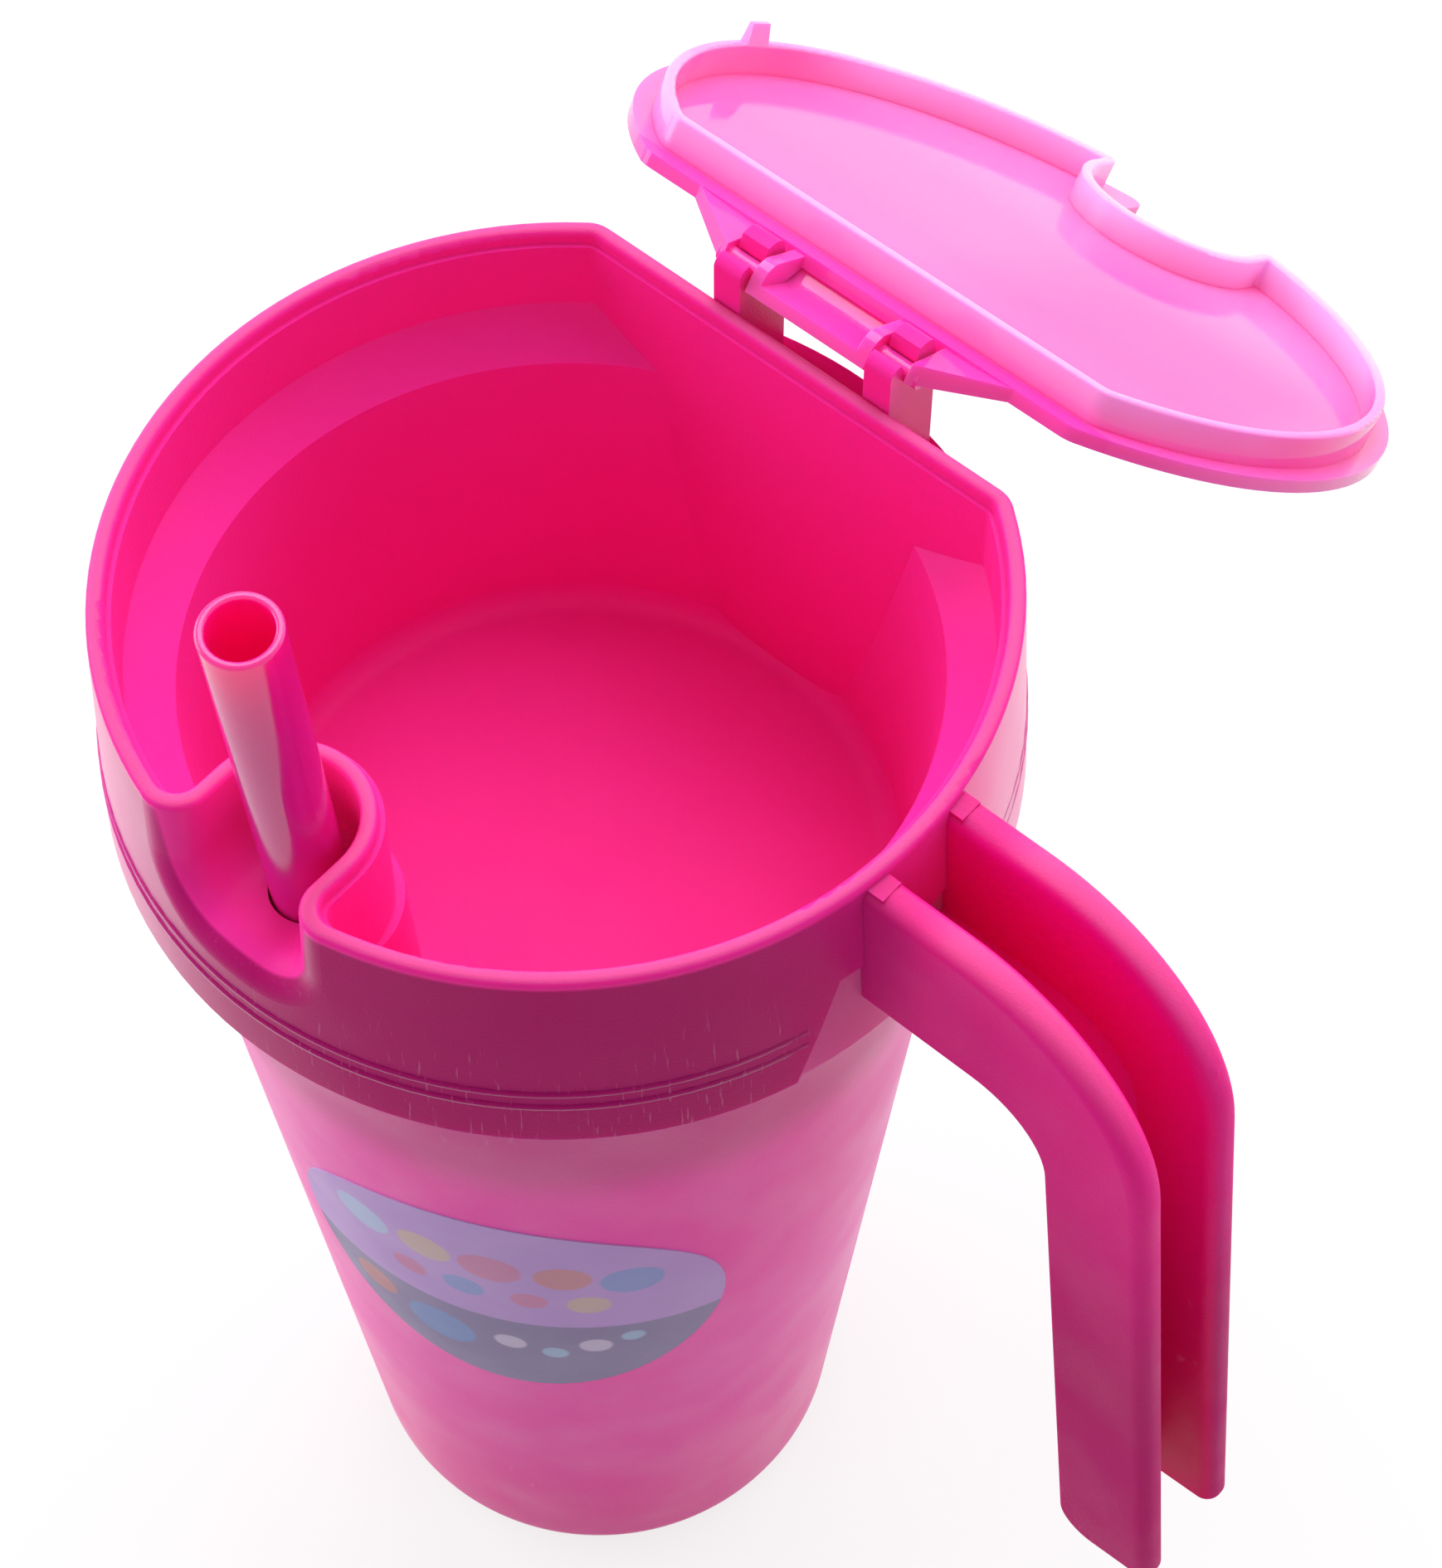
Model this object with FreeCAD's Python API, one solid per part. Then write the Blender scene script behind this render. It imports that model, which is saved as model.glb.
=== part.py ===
import FreeCAD
import Part

import math
import os

Vector = FreeCAD.Vector
UP = Vector(0, 0, 1)
AXIS_POINT = Vector(0, 0, 0)

# Snack and drink cup, in millimetres. The origin is the centre of the cup's base, with +Z up.
# The handle is at +X, the straw bay at -Y, and the bowl's flat back with the lid's hinge at +Y.

# Bowl and collar, whose rim sets the height and the width of everything else
RIM_RADIUS = 52.0
RIM_HEIGHT = 200.0
RIM_WALL = 2.0
RIM_ROUND = 0.9
COLLAR_DEPTH = 30.6
COLLAR_FLARE = 2.05
COLLAR_WALL = 2.0
DECK_DEPTH = 14.5
DECK_THICKNESS = 2.5
SEAT_DEPTH = 2.0
SEAT_LEDGE = 0.6
BOWL_DEPTH = 60.0
BOWL_WALL = 2.0
BOWL_FLOOR_ROUND = 5.0
SHELF_RISE = 5.0

# Shallow mould panel on the collar, under the handle
PANEL_DEPTH = 0.6
PANEL_DROP = 15.0
PANEL_HALF_TOP = 12.2
PANEL_HALF_FOOT = 18.4

# Flat back of the bowl and the bay for the straw
BACK_INSET = 10.1
BACK_CORNER = 4.0
BAY_INSET = 10.0
BAY_MIDDLE = -1.0
BAY_RADIUS = 8.0
BAY_LIP = 4.3
BAY_INNER_LIP = 2.6
BAY_FLOOR_ROUND = 5.0

# Cup, its seal and its label
BASE_RADIUS = 34.2
BASE_ROUND = 6.0
CUP_WALL = 2.0
CUP_FLOOR = 3.0
CUP_RIM_ROUND = 0.8
THREAD_ROOM = 1.75
SEAL_THICKNESS = 1.6
SEAL_OVERHANG = 0.6
SEAL_GAP = 0.1
PLUG_CLEARANCE = 1.6
LABEL_TOP = 107.5
LABEL_HEIGHT = 35.0
LABEL_HALF_WIDTH = 27.6
LABEL_CORNER = 6.5
LABEL_THICKNESS = 0.25
LABEL_DIRECTION = -63.0

# Straw
STRAW_RADIUS = 4.5
STRAW_WALL = 1.0
STRAW_ROUND = 0.4
STRAW_ABOVE_RIM = 40.0
STRAW_FOOT_HEIGHT = 5.4
STRAW_FOOT_GAP = 0.6
STRAW_FOOT_ASIDE = 3.7
STRAW_HOLE_ASIDE = 0.3
STRAW_HOLE_INSET = 11.0
STRAW_HOLE_CLEARANCE = 0.3

# Handle, an open channel
ARM_DROP = 1.4
ARM_DEPTH = 20.6
ARM_LENGTH = 11.0
OUTER_BEND = 28.6
INNER_BEND = 11.0
GRIP_LEAN = 7.0
GRIP_DEPTH = 13.4
GRIP_DROP = 112.8
GRIP_END_ROUND = 4.8
HANDLE_WIDTH = 17.8
FLANGE_THICKNESS = 4.45
FLANGE_ROUND = 2.0
WEB_THICKNESS = 2.5
ROOT_PAD_LENGTH = 1.6
ROOT_PAD_INSET = 0.7
ROOT_PAD_RISE = 0.15

# Hinge posts
HINGE_OUT = 3.5
HINGE_RISE = 3.7
PIN_RADIUS = 1.2
PIN_CLEARANCE = 0.05
SNAP_WIDTH = 2.0
SNAP_FLARE = 0.7
POST_WIDTH = 3.9
POST_SPACING = 22.5
POST_RISE = 6.5
POST_SIDE_GAP = 0.5
FRONT_PRONG_ROUND = 1.4
REAR_PRONG_ROUND = 2.15
STOP_GAP = 0.3

# Lid, given as it lies closed on the rim
LID_OPEN_ANGLE = 216.6
LID_THICKNESS = 1.75
LID_REST_GAP = 0.25
LID_INSET = 0.6
LID_BACK_GAP = 1.5
LID_CORNER = 3.0
NOTCH_GAP = 0.6
NOTCH_MIDDLE = 0.3
NOTCH_CORNER = 2.2
SKIRT_DEPTH = 4.4
SKIRT_WALL = 1.5
SKIRT_GAP = 0.5
SKIRT_BACK_GAP = 2.6
SKIRT_NOTCH_GAP = 1.6
SKIRT_CORNER = 1.6
SKIRT_ROUND = 0.5
TONGUE_THICKNESS = 1.6
TONGUE_RISE = 1.8
TONGUE_REACH = 2.6
CHEEK_THICKNESS = 1.6
CHEEK_RADIUS = 2.6
WING_LENGTH = 9.8
WING_HEIGHT = 0.9
PIN_BACKING = 0.5
LUG_DIRECTION = 185.5
LUG_WIDTH = 4.6
LUG_DEPTH = 2.5
LUG_TIP_WIDTH = 3.7
LUG_TIP_THICKNESS = 0.7

# Levels and radii that follow from the sizes above
COLLAR_FOOT = RIM_HEIGHT - COLLAR_DEPTH
DECK_HEIGHT = RIM_HEIGHT - DECK_DEPTH
SHOULDER = DECK_HEIGHT - DECK_THICKNESS
CUP_RIM = SHOULDER - SEAL_THICKNESS - 2 * SEAL_GAP
BOWL_FLOOR = RIM_HEIGHT - BOWL_DEPTH
BACK_FACE = RIM_RADIUS - BACK_INSET
BAY_CENTRE = RIM_RADIUS - BAY_INSET
SEAT_HEIGHT = RIM_HEIGHT - SEAT_DEPTH
INNER_WALL = RIM_WALL + SEAT_LEDGE
HINGE_Y = BACK_FACE + HINGE_OUT
HINGE_Z = RIM_HEIGHT + HINGE_RISE

# How far cutting shapes reach, how far they run past a surface, and how near counts as on it
FAR = 250.0
OVERSHOOT = 1.0
NEAR = 0.01


def collar_radius(z):
    """Outside radius of the collar, which flares towards its foot."""
    return RIM_RADIUS + COLLAR_FLARE * (RIM_HEIGHT - z) / COLLAR_DEPTH


NECK_RADIUS = collar_radius(CUP_RIM) - COLLAR_WALL - THREAD_ROOM


def cup_radius(z):
    """Outside radius of the tapered cup."""
    return BASE_RADIUS + (NECK_RADIUS - BASE_RADIUS) * z / CUP_RIM


def plug_radius(z):
    """Outside radius of the part of the bowl that dips into the cup."""
    return cup_radius(z) - CUP_WALL - PLUG_CLEARANCE


def revolved(points):
    """Solid of revolution about Z from (radius, height) points."""
    corners = [Vector(r, 0, z) for r, z in points]
    face = Part.Face(Part.makePolygon(corners + corners[:1]))
    return face.revolve(AXIS_POINT, UP, 360)


def upright(wire, low, high):
    """Solid that stands on a wire drawn at z = 0, between two heights."""
    face = Part.Face(wire)
    face.translate(Vector(0, 0, low))
    return face.extrude(Vector(0, 0, high - low))


def bay_wire(radius, centre_x, centre_y):
    """Outline of a straw bay: round towards the bowl and open towards -Y."""
    left = Vector(centre_x - radius, centre_y, 0)
    right = Vector(centre_x + radius, centre_y, 0)
    crown = Vector(centre_x, centre_y + radius, 0)
    outside = Vector(0, -FAR, 0)
    edges = [
        Part.LineSegment(left + outside, left).toShape(),
        Part.Arc(left, crown, right).toShape(),
        Part.LineSegment(right, right + outside).toShape(),
        Part.LineSegment(right + outside, left + outside).toShape(),
    ]
    return Part.Wire(edges)


def straight_bay(radius, middle, low, high):
    """Bay volume beside the rim."""
    return upright(bay_wire(radius, middle, -BAY_CENTRE), low, high)


def behind(y, low, high):
    """Everything behind a flat back at the given distance."""
    return Part.makeBox(2 * FAR, FAR, high - low, Vector(-FAR, y, low))


def upright_edges(shape, low, high):
    """Edges that run from near one height to near another, where a flat meets a round wall."""
    found = []
    for edge in shape.Edges:
        box = edge.BoundBox
        steep = box.ZLength > max(box.XLength, box.YLength)
        if steep and box.ZMin > low - NEAR and box.ZMax < high + NEAR and not edge.Closed:
            found.append(edge)
    return found


def level_edges(shape, z):
    """Edges that lie in the plane at the given height."""
    return [e for e in shape.Edges if max(abs(e.BoundBox.ZMin - z), abs(e.BoundBox.ZMax - z)) < NEAR]


def on_collar(edge):
    """Whether an edge lies on the collar's flared outside."""
    point = edge.valueAt(sum(edge.ParameterRange) / 2)
    return abs(math.hypot(point.x, point.y) - collar_radius(point.z)) < NEAR


def d_shape(radius, back, low, high, corner, bay_radius, bay_middle, lip):
    """Round block with a flat back and a straw bay, its upright corners rounded."""
    block = Part.makeCylinder(radius, high - low, Vector(0, 0, low))
    block = block.cut(behind(back, low - OVERSHOOT, high + OVERSHOOT))
    block = block.cut(straight_bay(bay_radius, bay_middle, low - OVERSHOOT, high + OVERSHOOT))
    for side, size in ((1, corner), (-1, lip)):
        edges = [e for e in upright_edges(block, low, high) if side * e.CenterOfMass.y > 0]
        edges = [e for e in edges if math.hypot(e.CenterOfMass.x, e.CenterOfMass.y) > radius - NEAR]
        block = block.makeFillet(size, edges)
    return block


# Line of the straw, from its foot in the cup's corner to the middle of its hole in the deck
straw_foot_radius = cup_radius(STRAW_FOOT_HEIGHT) - CUP_WALL - STRAW_RADIUS - STRAW_FOOT_GAP
straw_foot_y = -math.sqrt(straw_foot_radius ** 2 - STRAW_FOOT_ASIDE ** 2)
STRAW_FOOT = Vector(-STRAW_FOOT_ASIDE, straw_foot_y, STRAW_FOOT_HEIGHT)
STRAW_HOLE = Vector(STRAW_HOLE_ASIDE, STRAW_HOLE_INSET - RIM_RADIUS, DECK_HEIGHT - DECK_THICKNESS / 2)
STRAW_LINE = (STRAW_HOLE - STRAW_FOOT).normalize()


def on_straw(z):
    """Point of the straw's line at the given height."""
    return STRAW_HOLE + STRAW_LINE * ((z - STRAW_HOLE.z) / STRAW_LINE.z)


def leaning_bay(radius, low, high):
    """Groove below the deck that gives the leaning straw its way down."""
    top = on_straw(high)
    face = Part.Face(bay_wire(radius, top.x, top.y))
    face.translate(Vector(0, 0, high))
    return face.extrude(on_straw(low) - top)


def make_cup():
    """Tapered drinking cup with a rounded base and a plain neck for the collar."""
    outside = revolved([(0, 0), (cup_radius(0), 0), (NECK_RADIUS, CUP_RIM), (0, CUP_RIM)])
    outside = outside.makeFillet(BASE_ROUND, level_edges(outside, 0))
    inner_base = cup_radius(CUP_FLOOR) - CUP_WALL
    above = CUP_RIM + OVERSHOOT
    inner_top = cup_radius(above) - CUP_WALL
    inside = revolved([(0, CUP_FLOOR), (inner_base, CUP_FLOOR), (inner_top, above), (0, above)])
    inside = inside.makeFillet(BASE_ROUND - CUP_WALL, level_edges(inside, CUP_FLOOR))
    cup = outside.cut(inside)
    return cup.makeFillet(CUP_RIM_ROUND, level_edges(cup, CUP_RIM))


def make_label():
    """Thin sticker on the cup, flat along the top and bowed below."""
    low = LABEL_TOP - LABEL_HEIGHT
    below = low - OVERSHOOT
    above = LABEL_TOP + OVERSHOOT
    skin = revolved([
        (cup_radius(below), below),
        (cup_radius(below) + LABEL_THICKNESS, below),
        (cup_radius(above) + LABEL_THICKNESS, above),
        (cup_radius(above), above),
    ])
    w, c = LABEL_HALF_WIDTH, LABEL_CORNER
    bend = c * (1 - math.sqrt(0.5))

    def at(side, height):
        return Vector(0, side, height)

    right = at(w, LABEL_TOP - c)
    left = at(-w, LABEL_TOP - c)
    edges = [
        Part.LineSegment(at(c - w, LABEL_TOP), at(w - c, LABEL_TOP)).toShape(),
        Part.Arc(at(w - c, LABEL_TOP), at(w - bend, LABEL_TOP - bend), right).toShape(),
        Part.Arc(right, at(0, low), left).toShape(),
        Part.Arc(left, at(bend - w, LABEL_TOP - bend), at(c - w, LABEL_TOP)).toShape(),
    ]
    outline = Part.Face(Part.Wire(edges)).extrude(Vector(FAR, 0, 0))
    outline.rotate(AXIS_POINT, UP, LABEL_DIRECTION)
    return skin.common(outline)


def make_seal():
    """Flat sealing ring between the cup's rim and the bowl's shoulder."""
    low = CUP_RIM + SEAL_GAP
    ring = Part.makeCylinder(NECK_RADIUS, SEAL_THICKNESS, Vector(0, 0, low))
    bore = NECK_RADIUS - CUP_WALL - SEAL_OVERHANG
    return ring.cut(Part.makeCylinder(bore, SEAL_THICKNESS, Vector(0, 0, low)))


def flared(low, high, inset):
    """Solid that follows the collar's outside at the given distance within it."""
    low_radius = collar_radius(low) - inset
    high_radius = collar_radius(high) - inset
    return revolved([(0, low), (low_radius, low), (high_radius, high), (0, high)])


def collar_block():
    """Solid block of the collar, with the shallow mould panel under the handle."""
    low = COLLAR_FOOT - OVERSHOOT
    high = RIM_HEIGHT - PANEL_DROP
    corners = [
        Vector(0, -PANEL_HALF_FOOT, low),
        Vector(0, PANEL_HALF_FOOT, low),
        Vector(0, PANEL_HALF_TOP, high),
        Vector(0, -PANEL_HALF_TOP, high),
    ]
    panel = Part.Face(Part.makePolygon(corners + corners[:1])).extrude(Vector(FAR, 0, 0))
    panel = panel.cut(flared(low, RIM_HEIGHT, PANEL_DEPTH))
    return flared(COLLAR_FOOT, RIM_HEIGHT, 0).cut(panel)


def make_bowl():
    """Snack bowl with its collar, deck, straw bay and flat back, moulded in one."""
    block = collar_block().cut(behind(BACK_FACE, DECK_HEIGHT, RIM_HEIGHT + OVERSHOOT))
    corners = [e for e in upright_edges(block, DECK_HEIGHT, RIM_HEIGHT) if e.CenterOfMass.y > 0]
    block = block.makeFillet(BACK_CORNER, corners)

    # Dished straw bay, with one rounded lip from the rim down round its floor and up again
    bay = straight_bay(BAY_RADIUS, BAY_MIDDLE, DECK_HEIGHT, RIM_HEIGHT + OVERSHOOT)
    floor_edges = [e for e in level_edges(bay, DECK_HEIGHT) if e.BoundBox.YMin > -FAR]
    bay = bay.makeFillet(BAY_FLOOR_ROUND, floor_edges)
    block = block.cut(bay)
    lip = [e for e in block.Edges if on_collar(e) and e.BoundBox.YMax < -BAY_CENTRE]
    block = block.makeFillet(BAY_LIP, lip)

    # Room for the cup's neck under the shoulder
    block = block.cut(flared(COLLAR_FOOT - OVERSHOOT, SHOULDER, COLLAR_WALL))

    # Part that dips into the cup, with a groove for the straw
    under = BOWL_FLOOR - BOWL_WALL
    back_inside = BACK_FACE - INNER_WALL
    dip = revolved([(0, under), (plug_radius(under), under),
                    (plug_radius(SHOULDER), SHOULDER), (0, SHOULDER)])
    dip = dip.makeFillet(BOWL_FLOOR_ROUND, level_edges(dip, under))
    dip = dip.cut(behind(back_inside + BOWL_WALL, under - OVERSHOOT, SHOULDER + OVERSHOOT))
    dip = dip.cut(leaning_bay(BAY_RADIUS, under - OVERSHOOT, SHOULDER))
    block = block.fuse(dip)

    # Hollow for the snacks: a lower and an upper part, and the seat of the lid's skirt
    shelf = SHOULDER + SHELF_RISE
    inside = RIM_RADIUS - INNER_WALL
    lower = revolved([(0, BOWL_FLOOR), (plug_radius(BOWL_FLOOR) - BOWL_WALL, BOWL_FLOOR),
                      (plug_radius(SHOULDER) - BOWL_WALL, SHOULDER), (inside, shelf), (0, shelf)])
    lower = lower.makeFillet(BOWL_FLOOR_ROUND - BOWL_WALL, level_edges(lower, BOWL_FLOOR))
    lower = lower.cut(behind(back_inside, BOWL_FLOOR - OVERSHOOT, shelf + OVERSHOOT))
    lower = lower.cut(leaning_bay(BAY_RADIUS + BOWL_WALL, BOWL_FLOOR - OVERSHOOT, SHOULDER))
    lower = lower.cut(straight_bay(BAY_RADIUS + INNER_WALL, BAY_MIDDLE, SHOULDER, shelf + OVERSHOOT))
    upper = d_shape(inside, back_inside, shelf, SEAT_HEIGHT, BACK_CORNER - INNER_WALL,
                    BAY_RADIUS + INNER_WALL, BAY_MIDDLE, BAY_INNER_LIP - SEAT_LEDGE)
    seat = d_shape(RIM_RADIUS - RIM_WALL, BACK_FACE - RIM_WALL, SEAT_HEIGHT, RIM_HEIGHT + OVERSHOOT,
                   BACK_CORNER - RIM_WALL, BAY_RADIUS + RIM_WALL, BAY_MIDDLE, BAY_INNER_LIP)
    for hollow in (lower, upper, seat):
        block = block.cut(hollow)

    # Hole for the straw in the deck, which leans as the straw does
    hole_foot = on_straw(SHOULDER - OVERSHOOT)
    hole_length = OVERSHOOT + DECK_THICKNESS + BAY_FLOOR_ROUND
    hole = Part.makeCylinder(STRAW_RADIUS + STRAW_HOLE_CLEARANCE, hole_length, hole_foot, STRAW_LINE)
    block = block.cut(hole)
    return block.makeFillet(RIM_ROUND, level_edges(block, RIM_HEIGHT))


def make_handle():
    """Handle moulded as an open channel: two rounded flanges and a web on the cup's side."""
    lean = math.radians(GRIP_LEAN)
    along = Vector(math.sin(lean), 0, -math.cos(lean))
    out = Vector(math.cos(lean), 0, math.sin(lean))
    top = RIM_HEIGHT - ARM_DROP
    below = top - ARM_DEPTH
    root = RIM_RADIUS - RIM_WALL

    def at(x, z):
        return Vector(x, 0, z)

    # Outer side of the channel, from the bowl's wall to the lower end, which is rounder on the cup's side
    bend = at(RIM_RADIUS + ARM_LENGTH, top - OUTER_BEND)
    half_turn = math.radians((90 + GRIP_LEAN) / 2)
    bend_start = bend + at(0, OUTER_BEND)
    bend_middle = bend + at(OUTER_BEND * math.cos(half_turn), OUTER_BEND * math.sin(half_turn))
    bend_end = bend + out * OUTER_BEND
    grip_end = bend_end + along * ((bend_end.z - RIM_HEIGHT + GRIP_DROP) / math.cos(lean))
    end_start = grip_end - out * (GRIP_DEPTH - GRIP_END_ROUND)
    end_centre = end_start - along * GRIP_END_ROUND
    end_middle = end_centre + (along - out).normalize() * GRIP_END_ROUND
    inner_end = end_centre - out * GRIP_END_ROUND

    # Inner side, where fingers go
    corner = inner_end + along * ((below - inner_end.z) / along.z)
    tangent = INNER_BEND * math.tan(math.radians((90 - GRIP_LEAN) / 2))
    inner_low = corner + along * tangent
    inner_high = corner - at(tangent, 0)
    inner_centre = inner_low - out * INNER_BEND
    inner_middle = inner_centre + at(INNER_BEND * math.cos(half_turn), INNER_BEND * math.sin(half_turn))

    outer_path = [
        Part.LineSegment(at(root, top), bend_start).toShape(),
        Part.Arc(bend_start, bend_middle, bend_end).toShape(),
        Part.LineSegment(bend_end, grip_end).toShape(),
    ]
    side = Part.Wire(outer_path + [
        Part.LineSegment(grip_end, end_start).toShape(),
        Part.Arc(end_start, end_middle, inner_end).toShape(),
        Part.LineSegment(inner_end, inner_low).toShape(),
        Part.Arc(inner_low, inner_middle, inner_high).toShape(),
        Part.LineSegment(inner_high, at(root, below)).toShape(),
        Part.LineSegment(at(root, below), at(root, top)).toShape(),
    ])
    across = Vector(0, HANDLE_WIDTH, 0)
    handle = Part.Face(side).extrude(across)
    handle.translate(across * -0.5)

    # Hollow of the channel, which leaves the web along the inner side
    web_low = inner_low + out * WEB_THICKNESS
    web_high = inner_high + at(0, WEB_THICKNESS)
    web_bend = INNER_BEND + WEB_THICKNESS
    web_middle = inner_centre + at(web_bend * math.cos(half_turn), web_bend * math.sin(half_turn))
    web_foot = web_low + along * GRIP_DROP
    hollow = Part.Wire([
        Part.LineSegment(at(0, web_high.z), web_high).toShape(),
        Part.Arc(web_high, web_middle, web_low).toShape(),
        Part.LineSegment(web_low, web_foot).toShape(),
        Part.LineSegment(web_foot, at(FAR, web_foot.z)).toShape(),
        Part.LineSegment(at(FAR, web_foot.z), at(FAR, FAR + RIM_HEIGHT)).toShape(),
        Part.LineSegment(at(FAR, FAR + RIM_HEIGHT), at(0, FAR + RIM_HEIGHT)).toShape(),
        Part.LineSegment(at(0, FAR + RIM_HEIGHT), at(0, web_high.z)).toShape(),
    ])
    gap = Vector(0, HANDLE_WIDTH - 2 * FLANGE_THICKNESS, 0)
    channel = Part.Face(hollow).extrude(gap)
    channel.translate(gap * -0.5)
    handle = handle.cut(channel)

    # Full rounds along the outer edges of both flanges
    path = Part.Wire(outer_path)
    rounded = []
    for edge in handle.Edges:
        middle = edge.valueAt(sum(edge.ParameterRange) / 2)
        level = edge.BoundBox.YLength < NEAR
        if level and Part.Vertex(middle.x, 0, middle.z).distToShape(path)[0] < NEAR:
            rounded.append(edge)
    handle = handle.makeFillet(FLANGE_ROUND, rounded)

    # Square pads left where the flanges meet the wall
    pad_width = FLANGE_THICKNESS - 2 * ROOT_PAD_INSET
    for side in (-1, 1):
        middle = side * (HANDLE_WIDTH - FLANGE_THICKNESS) / 2
        corner = Vector(root, middle - pad_width / 2, top - FLANGE_ROUND)
        pad = Part.makeBox(RIM_WALL + ROOT_PAD_LENGTH, pad_width, FLANGE_ROUND + ROOT_PAD_RISE, corner)
        handle = handle.fuse(pad)
    return handle.cut(collar_block())


def lid_edge():
    """Nearest edge of the closed lid's top to the hinge line, as an offset from it."""
    y = BACK_FACE - LID_BACK_GAP - HINGE_Y
    z = RIM_HEIGHT + LID_REST_GAP + LID_THICKNESS - HINGE_Z
    return y, z


def make_posts():
    """Two posts that stand on the deck and hold the lid's pins in snap-in jaws."""
    y, z = lid_edge()
    turn = math.radians(LID_OPEN_ANGLE)
    back = HINGE_Y + y * math.cos(turn) + z * math.sin(turn) - STOP_GAP
    top = RIM_HEIGHT + POST_RISE
    bore = PIN_RADIUS + PIN_CLEARANCE
    profile = Part.makeBox(POST_WIDTH, back - BACK_FACE, top - DECK_HEIGHT, Vector(0, BACK_FACE, DECK_HEIGHT))
    jaw = Part.makeCylinder(bore, POST_WIDTH, Vector(0, HINGE_Y, HINGE_Z), Vector(1, 0, 0))
    half = SNAP_WIDTH / 2
    mouth = [(-half, HINGE_Z), (half, HINGE_Z), (half, HINGE_Z + bore), (half + SNAP_FLARE, top),
             (-half - SNAP_FLARE, top), (-half, HINGE_Z + bore)]
    corners = [Vector(0, HINGE_Y + y_offset, height) for y_offset, height in mouth]
    slot = Part.Face(Part.makePolygon(corners + corners[:1])).extrude(Vector(POST_WIDTH, 0, 0))
    post = profile.cut(jaw).cut(slot)
    for face, size in ((BACK_FACE, FRONT_PRONG_ROUND), (back, REAR_PRONG_ROUND)):
        edge = [e for e in level_edges(post, top) if abs(e.CenterOfMass.y - face) < NEAR]
        post = post.makeFillet(size, edge)
    posts = []
    for side in (-1, 1):
        copy = post.copy()
        copy.translate(Vector(side * POST_SPACING / 2 - POST_WIDTH / 2, 0, 0))
        posts.append(copy)
    return Part.makeCompound(posts)


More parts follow.
